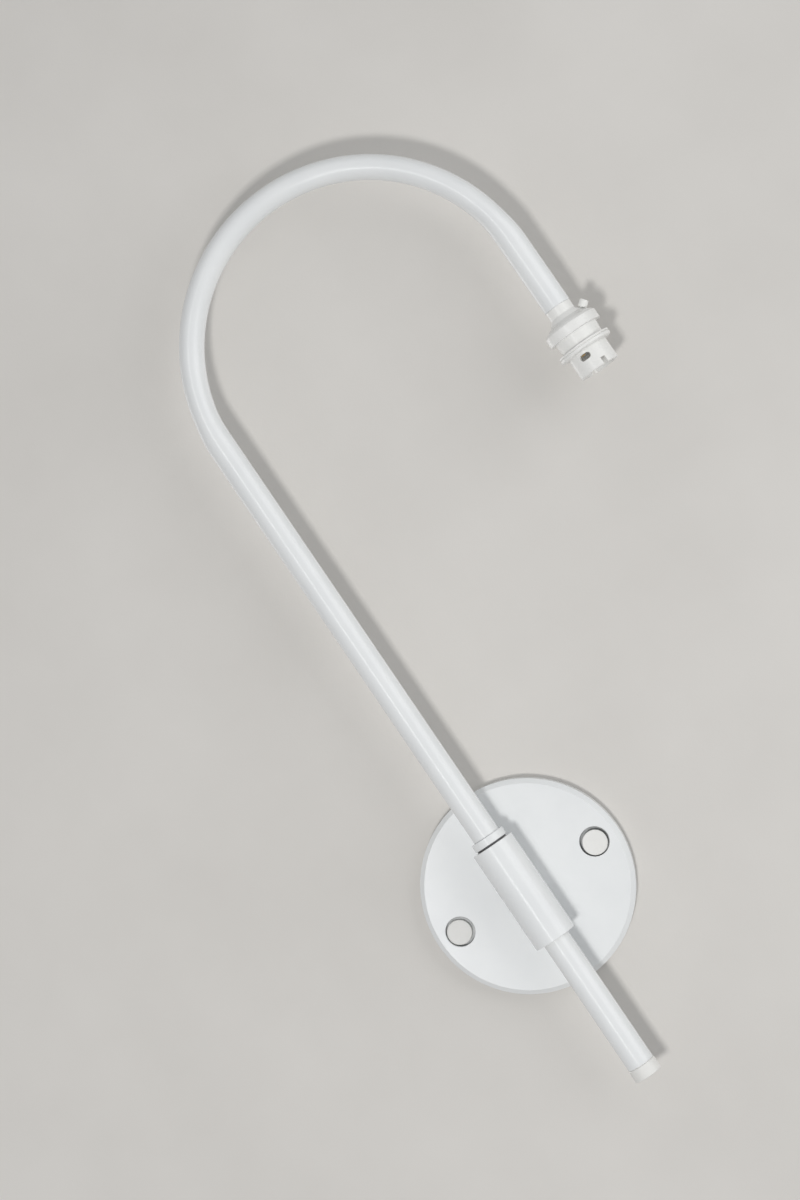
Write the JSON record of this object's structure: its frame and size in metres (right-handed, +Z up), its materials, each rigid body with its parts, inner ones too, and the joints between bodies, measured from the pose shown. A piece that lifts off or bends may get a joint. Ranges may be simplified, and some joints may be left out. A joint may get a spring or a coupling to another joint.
{
  "type": "swan neck wall light",
  "caption": "Swan-neck wall light without shade: round wall plate, upright sleeve, bent tube arm that swivels, and a bayonet lampholder with a shade ring.",
  "frame": {"origin": "on the wall, at the centre of the round plate, midway between its two screw holes", "axes": "+X to the right along the wall, +Y into the wall, +Z up along the swivel axis"},
  "size_m": [0.3276, 0.0591, 0.6281],
  "materials": {
    "powder_coat": "satin white powder coat",
    "holder_white": "smooth white, slightly glossy",
    "cap_plastic": "moulded white, satin",
    "brass": "turned",
    "zinc_steel": "bright zinc plate",
    "spring_steel": "drawn wire",
    "nylon": "natural nylon",
    "block_plastic": "moulded, milky",
    "insert_plastic": "moulded thermoset",
    "flex_sheath": "white PVC",
    "core_brown": "brown PVC",
    "core_blue": "blue PVC",
    "core_earth": "green and yellow PVC"
  },
  "bodies": {
    "wall_plate": {"backplate": "powder_coat", "standoff_boss": "powder_coat", "hollow_nipple": "brass", "tooth_washer": "zinc_steel", "lock_nut": "brass", "sleeve": "powder_coat", "bush_lower": "nylon", "bush_upper": "nylon", "thrust_washer": "nylon", "terminal_block": "block_plastic", "terminal_barrels": "brass", "terminal_screws": "zinc_steel", "plate_core_live": "core_brown", "plate_core_neutral": "core_blue", "plate_core_earth": "core_earth", "earth_stud": "zinc_steel", "earth_nut": "zinc_steel", "earth_tag": "zinc_steel", "earth_link": "core_earth"},
    "arm": {"arm_tube": "powder_coat", "stop_collar": "powder_coat", "lampholder_cap": "holder_white", "lampholder_skirt": "holder_white", "lock_screw": "holder_white", "tail_cap": "cap_plastic", "holder_nipple": "brass", "holder_terminal_left": "brass", "holder_terminal_right": "brass", "holder_terminal_earth": "brass", "collar_grub_screw": "zinc_steel", "holder_terminal_screws": "zinc_steel", "arm_end_plug": "zinc_steel", "plunger_spring_left": "spring_steel", "plunger_spring_right": "spring_steel", "contact_insert": "insert_plastic", "arm_flex": "flex_sheath", "holder_core_live": "core_brown", "holder_core_neutral": "core_blue", "holder_core_earth": "core_earth"},
    "screw_cap_left": {"screw_cap_left": "cap_plastic"},
    "screw_cap_right": {"screw_cap_right": "cap_plastic"},
    "shade_ring": {"shade_ring": "holder_white"},
    "plunger_left": {"plunger_left": "brass"},
    "plunger_right": {"plunger_right": "brass"}
  },
  "joints": [
    {"name": "arm_swivel", "type": "hinge", "parent": "wall_plate", "child": "arm", "pos_m": [0, -0.04, 0], "axis": [0, 0, 1], "range_deg": [-180, 0]},
    {"name": "shade_ring_travel", "type": "slide", "parent": "arm", "child": "shade_ring", "axis": [0, 0, 1], "range_m": [-0.02, 0]},
    {"name": "screw_cap_left_lift", "type": "slide", "parent": "wall_plate", "child": "screw_cap_left", "axis": [0, -1, 0], "range_m": [0, 0.014]},
    {"name": "screw_cap_right_lift", "type": "slide", "parent": "wall_plate", "child": "screw_cap_right", "axis": [0, -1, 0], "range_m": [0, 0.012]},
    {"name": "plunger_left_press", "type": "slide", "parent": "arm", "child": "plunger_left", "axis": [0, 0, 1], "range_m": [0, 0.0035], "stiffness_N_per_m": 1500, "springref_m": -0.001, "deforming": ["plunger_spring_left"]},
    {"name": "plunger_right_press", "type": "slide", "parent": "arm", "child": "plunger_right", "axis": [0, 0, 1], "range_m": [0, 0.0035], "stiffness_N_per_m": 1500, "springref_m": -0.001, "deforming": ["plunger_spring_right"]}
  ]
}
